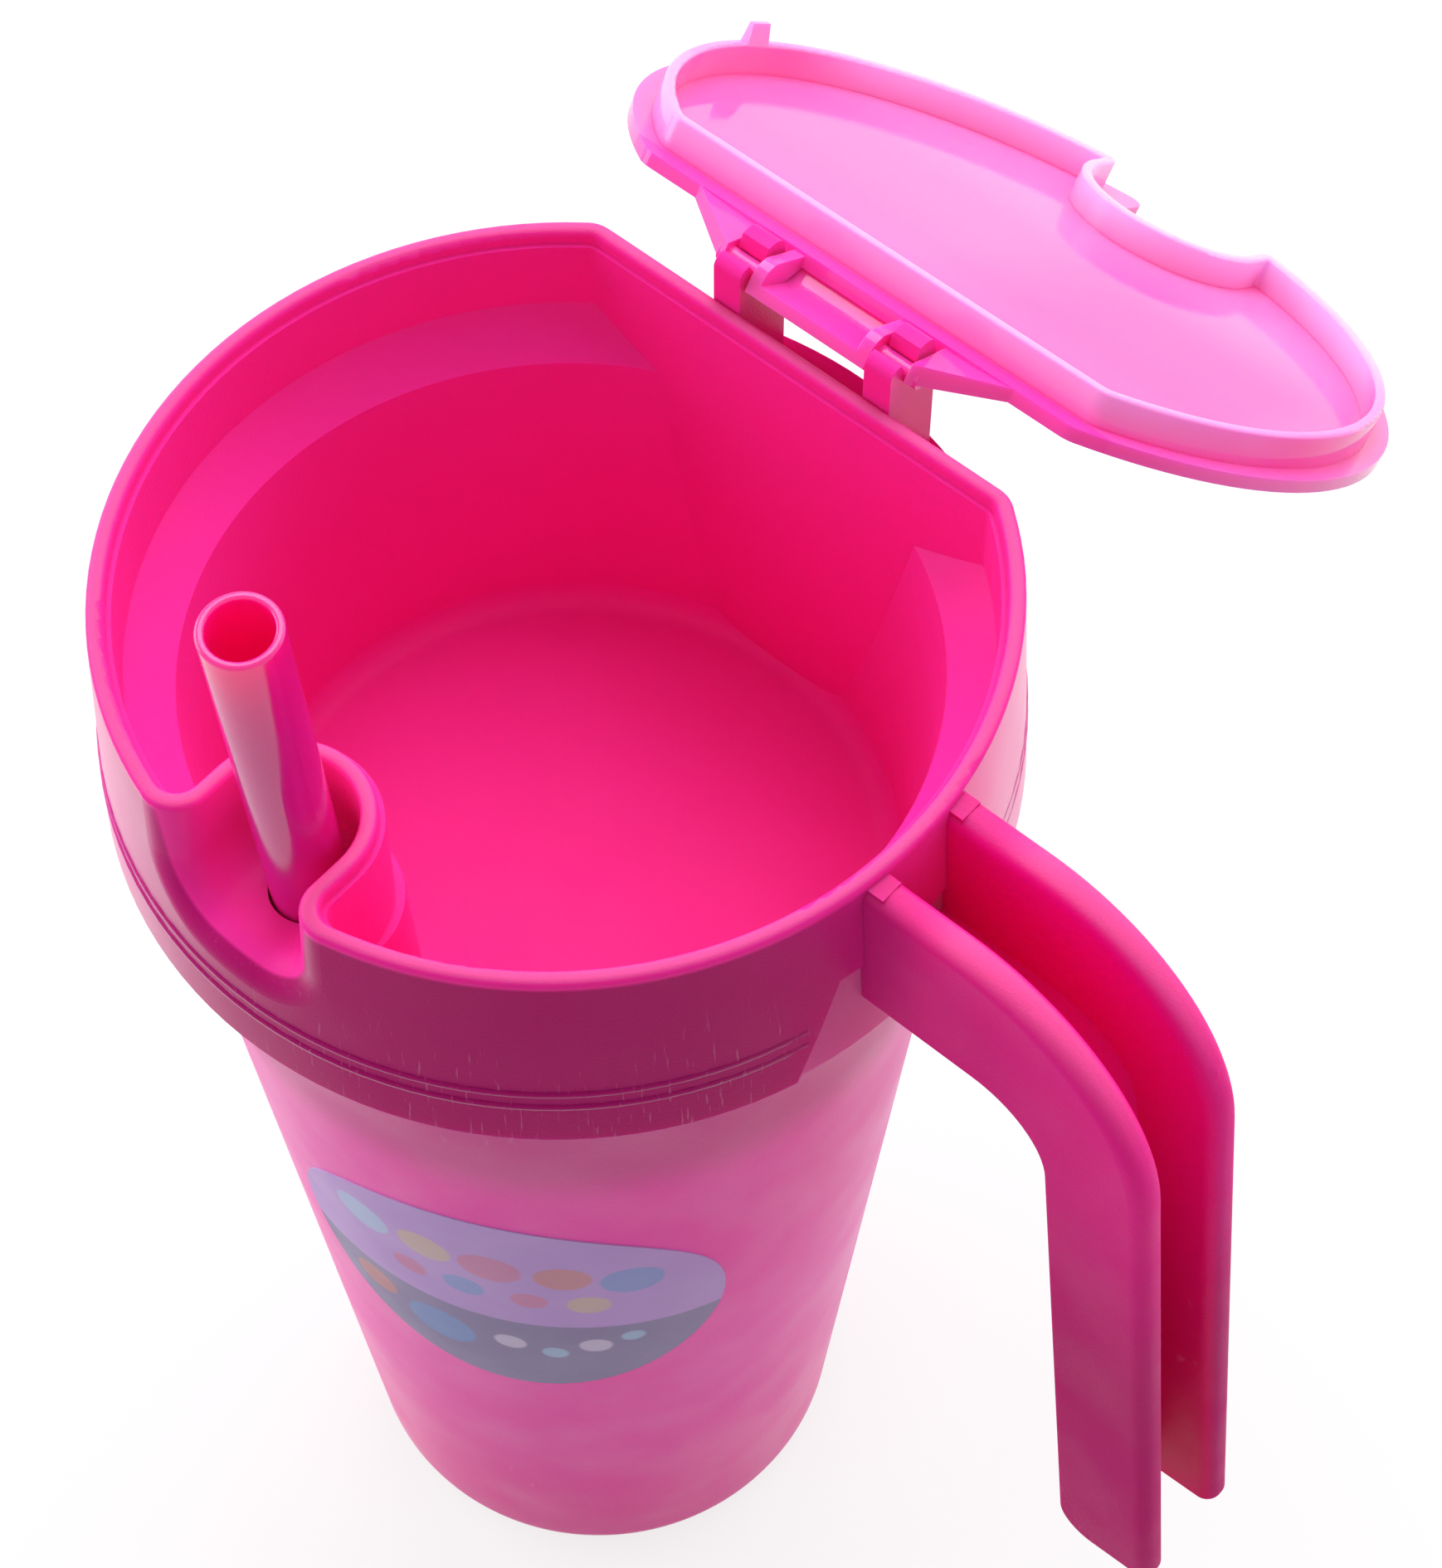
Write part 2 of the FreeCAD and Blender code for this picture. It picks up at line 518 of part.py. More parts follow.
def make_lid():
    """Snack lid with its plug skirt, straw notch, hinge tongue, wings and pins, shown open."""
    low = RIM_HEIGHT + LID_REST_GAP
    high = low + LID_THICKNESS
    foot = low - SKIRT_DEPTH
    back = BACK_FACE - LID_BACK_GAP
    notch = BAY_RADIUS - NOTCH_GAP
    radius = RIM_RADIUS - LID_INSET
    lid = d_shape(radius, back, low, high, LID_CORNER, notch, NOTCH_MIDDLE, NOTCH_CORNER)

    # Plug skirt, which follows the bowl's inside
    skirt_radius = RIM_RADIUS - INNER_WALL - SKIRT_GAP
    skirt_back = BACK_FACE - INNER_WALL - SKIRT_BACK_GAP
    skirt_notch = BAY_RADIUS + INNER_WALL + SKIRT_NOTCH_GAP
    skirt = d_shape(skirt_radius, skirt_back, foot, low, LID_CORNER, skirt_notch, NOTCH_MIDDLE, SKIRT_CORNER)
    hollow = d_shape(skirt_radius - SKIRT_WALL, skirt_back - SKIRT_WALL, foot, low, LID_CORNER - SKIRT_WALL,
                     skirt_notch + SKIRT_WALL, NOTCH_MIDDLE, SKIRT_ROUND)
    skirt = skirt.cut(hollow)
    skirt = skirt.makeFillet(SKIRT_ROUND, level_edges(skirt, foot))
    lug_sections = []
    for z, width, thickness in ((foot + SKIRT_ROUND, LUG_WIDTH, SKIRT_WALL),
                                (foot - LUG_DEPTH, LUG_TIP_WIDTH, LUG_TIP_THICKNESS)):
        inner = skirt_radius - thickness
        sides = ((inner, -1), (inner, 1), (skirt_radius, 1), (skirt_radius, -1))
        corners = [Vector(x, side * width / 2, z) for x, side in sides]
        lug_sections.append(Part.makePolygon(corners + corners[:1]))
    lug = Part.makeLoft(lug_sections, True, True)
    lug.rotate(AXIS_POINT, UP, LUG_DIRECTION)
    ring = Part.makeCylinder(skirt_radius, SKIRT_DEPTH + LUG_DEPTH, Vector(0, 0, foot - LUG_DEPTH))
    lug = lug.common(ring)
    lid = lid.fuse(skirt).fuse(lug)

    # Raised tongue between the posts, in section: an S-bend up from the lid and a flat over the hinge line
    post_inside = POST_SPACING / 2 - POST_WIDTH / 2
    post_outside = POST_SPACING / 2 + POST_WIDTH / 2
    half_tongue = post_inside - POST_SIDE_GAP

    def at(y, z):
        return Vector(0, HINGE_Y + y, HINGE_Z + z)

    def s_bend(start, end):
        middle = (start + end) * 0.5
        rise = end.z - start.z
        radius = start.distanceToPoint(end) ** 2 / (4 * rise)
        first = start + Vector(0, 0, radius)
        last = end - Vector(0, 0, radius)
        near_first = first + (start + (middle - start) * 0.5 - first).normalize() * radius
        near_last = last + (middle + (end - middle) * 0.5 - last).normalize() * radius
        return [Part.Arc(start, near_first, middle).toShape(), Part.Arc(middle, near_last, end).toShape()]

    under = TONGUE_RISE - TONGUE_THICKNESS
    bend_foot = skirt_back - HINGE_Y
    under_start = at(bend_foot, low - HINGE_Z)
    under_end = at(-CHEEK_RADIUS, under)
    over_start = at(bend_foot - TONGUE_THICKNESS / 2, high - HINGE_Z)
    over_end = at(-CHEEK_RADIUS - TONGUE_THICKNESS / 2, TONGUE_RISE)
    tip_under = at(TONGUE_REACH, under)
    tip_over = at(TONGUE_REACH, TONGUE_RISE)
    section = s_bend(under_start, under_end) + [
        Part.LineSegment(under_end, tip_under).toShape(),
        Part.LineSegment(tip_under, tip_over).toShape(),
        Part.LineSegment(tip_over, over_end).toShape(),
    ] + s_bend(over_start, over_end) + [Part.LineSegment(over_start, under_start).toShape()]
    tongue = Part.Face(Part.Wire(Part.sortEdges(section)[0])).extrude(Vector(2 * half_tongue, 0, 0))
    tongue.translate(Vector(-half_tongue, 0, 0))
    lid = lid.fuse(tongue)

    # Cheeks, pins and wings, the same on both sides
    cheek_corners = [at(bend_foot, low - HINGE_Z), at(0, -CHEEK_RADIUS), at(0, under), under_end]
    backed = PIN_RADIUS + PIN_BACKING
    wing_near = [(bend_foot + LID_THICKNESS, low - HINGE_Z), (bend_foot + LID_THICKNESS, WING_HEIGHT),
                 (backed, WING_HEIGHT), (backed, -backed)]
    edge_y = back - HINGE_Y
    wing_far = [(bend_foot + LID_THICKNESS, low - HINGE_Z), (bend_foot + LID_THICKNESS, high - HINGE_Z),
                (edge_y, high - HINGE_Z), (edge_y, low - HINGE_Z)]
    for side in (-1, 1):
        cheek_face = Part.Face(Part.makePolygon(cheek_corners + cheek_corners[:1]))
        cheek = cheek_face.extrude(Vector(CHEEK_THICKNESS, 0, 0))
        disc = Part.makeCylinder(CHEEK_RADIUS, CHEEK_THICKNESS, at(0, 0), Vector(1, 0, 0))
        for piece in (cheek, disc):
            inner = half_tongue - CHEEK_THICKNESS if side > 0 else -half_tongue
            piece.translate(Vector(inner, 0, 0))
            lid = lid.fuse(piece)
        wing_start = side * (post_outside + POST_SIDE_GAP)
        wing_end = wing_start + side * WING_LENGTH
        sections = []
        for x, offsets in ((wing_start, wing_near), (wing_end, wing_far)):
            corners = [at(y, z) + Vector(x, 0, 0) for y, z in offsets]
            sections.append(Part.makePolygon(corners + corners[:1]))
        lid = lid.fuse(Part.makeLoft(sections, True, True))
        pin_start = side * (half_tongue - CHEEK_THICKNESS / 2)
        pin_length = abs(wing_start - pin_start) + PIN_RADIUS
        pin_end = at(0, 0) + Vector(pin_start, 0, 0)
        pin = Part.makeCylinder(PIN_RADIUS, pin_length, pin_end, Vector(side, 0, 0))
        lid = lid.fuse(pin)

    lid = lid.removeSplitter()
    lid.rotate(Vector(0, HINGE_Y, HINGE_Z), Vector(1, 0, 0), -LID_OPEN_ANGLE)
    return lid


def make_straw():
    """Reusable drinking straw that leans from its hole in the deck to the cup's far corner."""
    length = (RIM_HEIGHT + STRAW_ABOVE_RIM - STRAW_FOOT.z) / STRAW_LINE.z
    tube = Part.makeCylinder(STRAW_RADIUS, length)
    tube = tube.cut(Part.makeCylinder(STRAW_RADIUS - STRAW_WALL, length))
    tube = tube.makeFillet(STRAW_ROUND, level_edges(tube, 0) + level_edges(tube, length))
    tube.Placement = FreeCAD.Placement(STRAW_FOOT, FreeCAD.Rotation(UP, STRAW_LINE))
    return tube


PIECES = {
    "cup_body": make_cup,
    "cup_label": make_label,
    "seal_ring": make_seal,
    "snack_bowl": make_bowl,
    "carry_handle": make_handle,
    "hinge_posts": make_posts,
    "drinking_straw": make_straw,
    "snack_lid": make_lid,
}

os.makedirs("parts", exist_ok=True)
for node, make in PIECES.items():
    make().exportStep("parts/" + node + ".step")
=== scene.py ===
import math

import bmesh
import bpy
from mathutils import Matrix, Vector


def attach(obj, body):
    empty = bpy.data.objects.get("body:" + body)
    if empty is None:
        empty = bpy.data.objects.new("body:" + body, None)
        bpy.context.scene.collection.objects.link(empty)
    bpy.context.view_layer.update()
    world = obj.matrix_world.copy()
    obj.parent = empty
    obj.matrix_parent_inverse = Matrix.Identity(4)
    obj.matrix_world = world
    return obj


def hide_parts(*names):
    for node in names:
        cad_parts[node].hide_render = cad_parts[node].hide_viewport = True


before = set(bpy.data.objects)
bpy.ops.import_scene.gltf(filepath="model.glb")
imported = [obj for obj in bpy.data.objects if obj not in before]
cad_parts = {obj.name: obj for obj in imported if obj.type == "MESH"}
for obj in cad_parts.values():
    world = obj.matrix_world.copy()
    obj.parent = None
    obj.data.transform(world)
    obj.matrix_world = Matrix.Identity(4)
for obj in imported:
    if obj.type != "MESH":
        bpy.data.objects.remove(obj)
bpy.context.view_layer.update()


# Drinking cup: one thin tapered moulding of frosted, slightly milky plastic.
# It stands on its rounded base. The shadow of the bowl's dip is painted as a soft darker zone on the upper
# wall, and a ridge of screw thread is moulded on the neck for the collar.
CUP_PINK = (0.97, 0.072, 0.45, 1)
CUP_SHADED = (0.60, 0.085, 0.27, 1)
CUP_FOOT_PINK = (0.93, 0.05, 0.35, 1)
CUP_RUBBED = (0.95, 0.75, 0.85, 1)
DIP_BOTTOM = 0.1385
DIP_SOFT = 0.012
FOOT_FADE = 0.075
PLASTIC_GLOSS = 0.12
FROST_ROUGHNESS = 0.3
LIGHT_REACH = (1.0, 0.15, 0.45)
SKIN_DEPTH = 0.0002
FINE_SKIN_DEPTH = 0.0001
WAVES_PER_METRE = 45.0
DULL_PATCHES_PER_METRE = 70.0
SHARP_ANGLE = math.radians(40)


def add(tree, kind, settings=(), inputs=()):
    """One shader node, with its settings, and with its inputs set or linked."""
    made = tree.nodes.new(kind)
    for name, value in dict(settings).items():
        setattr(made, name, value)
    for name, value in dict(inputs).items():
        if isinstance(value, bpy.types.NodeSocket):
            tree.links.new(value, made.inputs[name])
        else:
            made.inputs[name].default_value = value
    return made


def calc(tree, operation, *terms):
    """Result of one math node."""
    return add(tree, "ShaderNodeMath", {"operation": operation}, dict(enumerate(terms))).outputs[0]


def ease(tree, value, start, end):
    """0 before start, 1 after end, and smooth between them."""
    inputs = {"Value": value, "From Min": start, "From Max": end}
    return add(tree, "ShaderNodeMapRange", {"interpolation_type": "SMOOTHSTEP"}, inputs).outputs[0]


def tint(tree, amount, first, second):
    """Mix of two colours."""
    mix = add(tree, "ShaderNodeMix", {"data_type": "RGBA"}, {0: amount, 6: first, 7: second})
    return mix.outputs[2]


def place(tree):
    """Position on the piece in metres, as a vector and as x, y and z."""
    vector = add(tree, "ShaderNodeTexCoord").outputs["Object"]
    parts = add(tree, "ShaderNodeSeparateXYZ", (), {0: vector}).outputs
    return vector, parts[0], parts[1], parts[2]


def noise(tree, vector, scale, detail=2.0):
    """Smooth noise from 0 to 1."""
    inputs = {"Vector": vector, "Scale": scale, "Detail": detail}
    return add(tree, "ShaderNodeTexNoise", (), inputs).outputs["Fac"]


def new_effect(name, inputs, outputs):
    """Node group with named sockets: numbers are values, and tuples are colours."""
    group = bpy.data.node_groups.new(name, "ShaderNodeTree")
    for label, value in inputs.items():
        kind = "NodeSocketColor" if isinstance(value, tuple) else "NodeSocketFloat"
        group.interface.new_socket(label, in_out="INPUT", socket_type=kind).default_value = value
    for label, kind in outputs.items():
        group.interface.new_socket(label, in_out="OUTPUT", socket_type=kind)
    return group, group.nodes.new("NodeGroupInput").outputs, group.nodes.new("NodeGroupOutput").inputs


def use_effect(tree, group, **inputs):
    """Places an effect in a material, and returns its outputs."""
    labels = {name.replace("_", " "): value for name, value in inputs.items()}
    return add(tree, "ShaderNodeGroup", {"node_tree": group}, labels).outputs


# Surface left by the mould: fine grain, slow waviness and patches that are a little duller
mould_skin, given, result = new_effect(
    "Mould skin",
    {"Grain per metre": 2500.0, "Grain": 0.5, "Waviness": 0.5, "Gloss from": 0.3, "Gloss to": 0.5},
    {"Height": "NodeSocketFloat", "Roughness": "NodeSocketFloat"},
)
where = place(mould_skin)[0]
grain = noise(mould_skin, where, given["Grain per metre"], 3.0)
waves = noise(mould_skin, where, WAVES_PER_METRE, 1.0)
patches = noise(mould_skin, where, DULL_PATCHES_PER_METRE, 5.0)
fine = calc(mould_skin, "MULTIPLY", grain, given["Grain"])
broad = calc(mould_skin, "MULTIPLY", waves, given["Waviness"])
mould_skin.links.new(calc(mould_skin, "ADD", fine, broad), result["Height"])
spread = calc(mould_skin, "SUBTRACT", given["Gloss to"], given["Gloss from"])
dulled = calc(mould_skin, "MULTIPLY_ADD", ease(mould_skin, patches, 0.3, 0.7), spread, given["Gloss from"])
mould_skin.links.new(dulled, result["Roughness"])

# Slow drift of the pigment between two tones
pigment_drift, given, result = new_effect(
    "Pigment drift",
    {"Tone": (0.8, 0.8, 0.8, 1), "Deep tone": (0.5, 0.5, 0.5, 1), "Cloud per metre": 30.0, "Amount": 0.3},
    {"Colour": "NodeSocketColor"},
)
drift = noise(pigment_drift, place(pigment_drift)[0], given["Cloud per metre"], 4.0)
cloud = ease(pigment_drift, drift, 0.35, 0.75)
share = calc(pigment_drift, "MULTIPLY", cloud, given["Amount"])
pigment_drift.links.new(tint(pigment_drift, share, given["Tone"], given["Deep tone"]), result["Colour"])

# Pale rub marks from use: short scratches along the height, in scattered patches
rub_marks, given, result = new_effect(
    "Rub marks",
    {"Marks per metre": 900.0, "Length": 12.0, "Patches per metre": 60.0, "Cover": 0.5},
    {"Mask": "NodeSocketFloat"},
)
where = place(rub_marks)[0]
along = calc(rub_marks, "DIVIDE", 1.0, given["Length"])
stretch = add(rub_marks, "ShaderNodeCombineXYZ", (), {0: 1.0, 1: 1.0, 2: along}).outputs[0]
drawn = add(rub_marks, "ShaderNodeVectorMath", {"operation": "MULTIPLY"}, {0: where, 1: stretch}).outputs[0]
lines = ease(rub_marks, noise(rub_marks, drawn, given["Marks per metre"], 2.0), 0.62, 0.74)
threshold = calc(rub_marks, "SUBTRACT", 1.0, given["Cover"])
patch = noise(rub_marks, where, given["Patches per metre"], 3.0)
patch_end = calc(rub_marks, "ADD", threshold, 0.15)
patched = ease(rub_marks, patch, threshold, patch_end)
rub_marks.links.new(calc(rub_marks, "MULTIPLY", lines, patched), result["Mask"])


def new_plastic(name):
    """Material with one plastic shader, and its node tree."""
    material = bpy.data.materials.new(name)
    material.use_nodes = True
    tree = material.node_tree
    tree.nodes.clear()
    shader = tree.nodes.new("ShaderNodeBsdfPrincipled")
    shader.inputs["Specular IOR Level"].default_value = PLASTIC_GLOSS
    out = tree.nodes.new("ShaderNodeOutputMaterial")
    tree.links.new(shader.outputs[0], out.inputs["Surface"])
    return material, tree, shader


def finish_plastic(tree, shader, colour, skin, height, depth):
    """Joins the colour, the mould's skin and a relief of the given depth in metres to the shader."""
    bump = add(tree, "ShaderNodeBump", (), {"Strength": 1.0, "Distance": depth, "Height": height})
    tree.links.new(colour, shader.inputs["Base Color"])
    tree.links.new(skin["Roughness"], shader.inputs["Roughness"])
    tree.links.new(bump.outputs[0], shader.inputs["Normal"])


def milky(shader, weight, depth):
    """Lets light a little way into the plastic, red furthest."""
    shader.inputs["Subsurface Weight"].default_value = weight
    shader.inputs["Subsurface Radius"].default_value = LIGHT_REACH
    shader.inputs["Subsurface Scale"].default_value = depth


def frosted(tree, shader, start, end, share):
    """Soft gloss that shows only where the surface turns away, as on frosted plastic."""
    facing = add(tree, "ShaderNodeLayerWeight", (), {"Blend": 0.5}).outputs["Facing"]
    gloss = calc(tree, "MULTIPLY", ease(tree, facing, start, end), share)
    tree.links.new(gloss, shader.inputs["Coat Weight"])
    shader.inputs["Coat Roughness"].default_value = FROST_ROUGHNESS


def dress(node, material):
    """Gives a CAD piece its finish."""
    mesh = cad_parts[node].data
    mesh.materials.clear()
    mesh.materials.append(material)


cup_plastic, tree, shader = new_plastic("frosted_cup_plastic")
where, _, _, z = place(tree)
skin = use_effect(
    tree, mould_skin, Grain_per_metre=1800.0, Grain=0.3, Waviness=0.6, Gloss_from=0.36, Gloss_to=0.5
)
pink = use_effect(
    tree, pigment_drift, Tone=CUP_PINK, Deep_tone=CUP_FOOT_PINK, Cloud_per_metre=22.0, Amount=0.25
)
footed = tint(tree, ease(tree, z, FOOT_FADE, 0.0), pink["Colour"], CUP_FOOT_PINK)
edge = calc(tree, "MULTIPLY_ADD", noise(tree, where, 28.0), 0.006, z)
# Painted shadow of the bowl's dip: the upper wall is darker, with a wavy lower edge
dip_shadow = ease(tree, edge, DIP_BOTTOM - 0.001, DIP_BOTTOM + DIP_SOFT)
shaded = tint(tree, calc(tree, "MULTIPLY", dip_shadow, 0.75), footed, CUP_SHADED)
rubs = use_effect(tree, rub_marks, Marks_per_metre=700.0, Length=5.0, Patches_per_metre=35.0, Cover=0.42)
worn = tint(tree, calc(tree, "MULTIPLY", rubs["Mask"], 0.10), shaded, CUP_RUBBED)
finish_plastic(tree, shader, worn, skin, skin["Height"], SKIN_DEPTH)
milky(shader, 0.35, 0.004)
frosted(tree, shader, 0.6, 0.95, 0.4)

# Turned wall of the cup, finer than the solid's mesh and without its seam
CUP_BASE_RADIUS = 0.0342
NECK_TAPER = 0.0845
CUP_RIM = 0.1812
CUP_WALL = 0.002
CUP_FLOOR = 0.003
BASE_ROUND = 0.006
CUP_RIM_ROUND = 0.0008
TURNED_SIDES = 192
ARC_STEPS = 10
LONGEST_STEP = 0.008
AXIS_NEAR = 0.0001


def taper_radius(height):
    """Outside radius of the tapered cup."""
    return CUP_BASE_RADIUS + NECK_TAPER * height


def rounded_corner(before, corner, after, radius):
    """Points of the arc that rounds a profile's corner."""
    back = (before - corner).normalized()
    ahead = (after - corner).normalized()
    half = back.angle(ahead) / 2
    centre = corner + (back + ahead).normalized() * radius / math.sin(half)
    first = corner + back * radius / math.tan(half) - centre
    last = corner + ahead * radius / math.tan(half) - centre
    shares = [i / ARC_STEPS for i in range(ARC_STEPS + 1)]
    return [centre + first.lerp(last, share).normalized() * radius for share in shares]


def turned_profile(corners):
    """Closely spaced points of a profile given as (radius, height, round) corners."""
    spots = [Vector(corner[:2]) for corner in corners]
    path = [spots[0]]
    for i in range(1, len(corners) - 1):
        path += rounded_corner(spots[i - 1], spots[i], spots[i + 1], corners[i][2])
    path.append(spots[-1])
    points = path[:1]
    for start, end in zip(path, path[1:]):
        pieces = max(1, math.ceil((end - start).length / LONGEST_STEP))
        points += [start.lerp(end, (i + 1) / pieces) for i in range(pieces)]
    return points


def new_piece(name, form, material):
    """Piece of the scene from a drawn form, smooth but for its sharp edges."""
    mesh = bpy.data.meshes.new(name)
    piece = bpy.data.objects.new(name, mesh)
    bpy.context.scene.collection.objects.link(piece)
    bmesh.ops.recalc_face_normals(form, faces=form.faces)
    form.to_mesh(mesh)
    form.free()
    for face in mesh.polygons:
        face.use_smooth = True
    mesh.set_sharp_from_angle(angle=SHARP_ANGLE)
    mesh.materials.append(material)
    return piece


CUP_CORNERS = (
    (0, 0, 0),
    (CUP_BASE_RADIUS, 0, BASE_ROUND),
    (taper_radius(CUP_RIM), CUP_RIM, CUP_RIM_ROUND),
    (taper_radius(CUP_RIM) - CUP_WALL, CUP_RIM, CUP_RIM_ROUND),
    (taper_radius(CUP_FLOOR) - CUP_WALL, CUP_FLOOR, BASE_ROUND - CUP_WALL),
    (0, CUP_FLOOR, 0),
)

form = bmesh.new()
rings = []
turns = [2 * math.pi * i / TURNED_SIDES for i in range(TURNED_SIDES)]
for radius, height in turned_profile(CUP_CORNERS):
    ring_turns = turns if radius > AXIS_NEAR else turns[:1]
    spots = [(radius * math.cos(turn), radius * math.sin(turn), height) for turn in ring_turns]
    rings.append([form.verts.new(spot) for spot in spots])
for low, high in zip(rings, rings[1:]):
    for i in range(TURNED_SIDES):
        j = (i + 1) % TURNED_SIDES
        corners = [low[i % len(low)], low[j % len(low)], high[j % len(high)], high[i % len(high)]]
        form.faces.new([v for k, v in enumerate(corners) if v not in corners[:k]])
cup = new_piece("turned_cup", form, cup_plastic)
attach(cup, "cup")
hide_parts("cup_body")

# Thread ridge on the neck
NECK_RADIUS = 0.04875
THREAD_START = 0.1725
THREAD_PITCH = 0.0036
THREAD_TURNS = 1.6
THREAD_PROUD = 0.0008
THREAD_HALF = 0.0011
RIDGE_STEPS = 120
RUN_OUT_SHARE = 1 / 12


def wound_ridge(form, radius, height, proud, half, first=0.0, turns=1.0, pitch=0.0):
    """Ridge that winds round a tapered wall and runs out at both ends, inward where proud is negative."""
    steps = int(RIDGE_STEPS * turns)
    rows = []
    for i in range(steps + 1):
        share = i / steps
        turn = first + share * turns * 2 * math.pi
        run_out = min(1.0, share / RUN_OUT_SHARE, (1 - share) / RUN_OUT_SHARE)
        level = height + share * turns * pitch
        row = []
        for offset, lift in ((-1.0, -0.15), (-0.45, run_out), (0.45, run_out), (1.0, -0.15)):
            r = radius + NECK_TAPER * (level - height) + lift * proud
            row.append(form.verts.new((r * math.cos(turn), r * math.sin(turn), level + offset * half)))
        rows.append(row)
    for low, high in zip(rows, rows[1:]):
        for k in range(4):
            form.faces.new((low[k], low[(k + 1) % 4], high[(k + 1) % 4], high[k]))
    form.faces.new(rows[0])
    form.faces.new(rows[-1])


form = bmesh.new()
wound_ridge(
    form, NECK_RADIUS, THREAD_START, THREAD_PROUD, THREAD_HALF, turns=THREAD_TURNS, pitch=THREAD_PITCH
)
neck_thread = new_piece("neck_thread", form, cup_plastic)
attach(neck_thread, "cup")


# Label: a thin oval film, stuck on the front of the cup.
# It is printed with a pale field over a dark foot, and with plain discs in bright colours.
FILM_PALE = (0.48, 0.27, 0.64, 1)
FILM_SLATE = (0.22, 0.17, 0.34, 1)
FILM_LINE = (0.66, 0.55, 0.74, 1)
FILM_BLUE = (0.15, 0.28, 0.60, 1)
FILM_SKY = (0.36, 0.52, 0.74, 1)
FILM_RED = (0.60, 0.16, 0.30, 1)
FILM_ORANGE = (0.58, 0.20, 0.16, 1)
FILM_YELLOW = (0.58, 0.42, 0.28, 1)
LABEL_TURN = math.radians(-63.2)
LABEL_MIDDLE = 0.0997
LABEL_HALF_WIDTH = 0.0298
LABEL_HALF_HEIGHT = 0.0274
LABEL_THICKNESS = 0.00015
UNDERSIDE_SINK = 0.00003
UNDERSIDE_GROWTH = 1.003
LABEL_FOOT = -0.0047
LABEL_SIDES = 96
LABEL_RINGS = 24
PRINT_SOFT = 0.00025
DISC_SOFT = 0.0003
LABEL_RADIUS = taper_radius(LABEL_MIDDLE)
DISCS = (
    (-0.0175, 0.0130, 0.0040, FILM_SKY),
    (-0.0085, 0.0135, 0.0036, FILM_YELLOW),
    (0.0000, 0.0130, 0.0040, FILM_RED),
    (0.0090, 0.0125, 0.0036, FILM_ORANGE),
    (0.0175, 0.0110, 0.0040, FILM_BLUE),
    (-0.0115, 0.0040, 0.0024, FILM_RED),
    (-0.0040, 0.0045, 0.0028, FILM_BLUE),
    (0.0045, 0.0040, 0.0024, FILM_RED),
    (0.0120, 0.0035, 0.0028, FILM_YELLOW),
    (-0.0190, -0.0105, 0.0034, FILM_ORANGE),
    (-0.0090, -0.0140, 0.0050, FILM_BLUE),
    (0.0010, -0.0125, 0.0022, FILM_LINE),
    (0.0070, -0.0145, 0.0018, FILM_SKY),
    (0.0125, -0.0115, 0.0022, FILM_LINE),
    (0.0175, -0.0090, 0.0016, FILM_SKY),
)

label_film, tree, shader = new_plastic("printed_label_film")
where, x, y, z = place(tree)
turn_cos, turn_sin = math.cos(LABEL_TURN), math.sin(LABEL_TURN)
turned_x = calc(tree, "MULTIPLY_ADD", y, turn_sin, calc(tree, "MULTIPLY", x, turn_cos))
turned_y = calc(tree, "MULTIPLY_ADD", y, turn_cos, calc(tree, "MULTIPLY", x, -turn_sin))
across = calc(tree, "MULTIPLY", calc(tree, "ARCTAN2", turned_y, turned_x), LABEL_RADIUS)
up = calc(tree, "SUBTRACT", z, LABEL_MIDDLE)
band = calc(tree, "SUBTRACT", up, LABEL_FOOT)
print_colour = tint(tree, ease(tree, band, -PRINT_SOFT, PRINT_SOFT), FILM_SLATE, FILM_PALE)
for disc_across, disc_up, disc_radius, disc_colour in DISCS:
    side = calc(tree, "SUBTRACT", across, disc_across)
    rise = calc(tree, "SUBTRACT", up, disc_up)
    squares = calc(tree, "MULTIPLY_ADD", side, side, calc(tree, "MULTIPLY", rise, rise))
    inside = ease(tree, calc(tree, "SQRT", squares), disc_radius + DISC_SOFT, disc_radius - DISC_SOFT)
    print_colour = tint(tree, calc(tree, "MULTIPLY", inside, 0.75), print_colour, disc_colour)
dots = noise(tree, where, 5200.0, 0.0)
printed = tint(tree, calc(tree, "MULTIPLY", dots, 0.12), print_colour, FILM_LINE)
skin = use_effect(
    tree, mould_skin, Grain_per_metre=900.0, Grain=0.1, Waviness=0.9, Gloss_from=0.28, Gloss_to=0.42
)
finish_plastic(tree, shader, printed, skin, skin["Height"], SKIN_DEPTH)


def label_ring(form, share, lift):
    """Ring of points on the film, at a share of its size and a height above the cup's wall."""
    ring = []
    for i in range(LABEL_SIDES):
        angle = 2 * math.pi * i / LABEL_SIDES
        height = LABEL_MIDDLE + share * LABEL_HALF_HEIGHT * math.sin(angle)
        turn = LABEL_TURN + share * LABEL_HALF_WIDTH * math.cos(angle) / LABEL_RADIUS
        radius = taper_radius(height) + lift
        ring.append(form.verts.new((radius * math.cos(turn), radius * math.sin(turn), height)))
    return ring


form = bmesh.new()
shares = [step / LABEL_RINGS for step in range(1, LABEL_RINGS + 1)]
rings = [label_ring(form, share, LABEL_THICKNESS) for share in shares]
rings += [label_ring(form, UNDERSIDE_GROWTH * share, -UNDERSIDE_SINK) for share in reversed(shares)]
for inner, outer in zip(rings, rings[1:]):
    for i in range(LABEL_SIDES):
        j = (i + 1) % LABEL_SIDES
        form.faces.new((inner[i], outer[i], outer[j], inner[j]))
form.faces.new(rings[0])
form.faces.new(rings[-1])
label = new_piece("front_label", form, label_film)
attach(label, "cup")
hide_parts("cup_label")


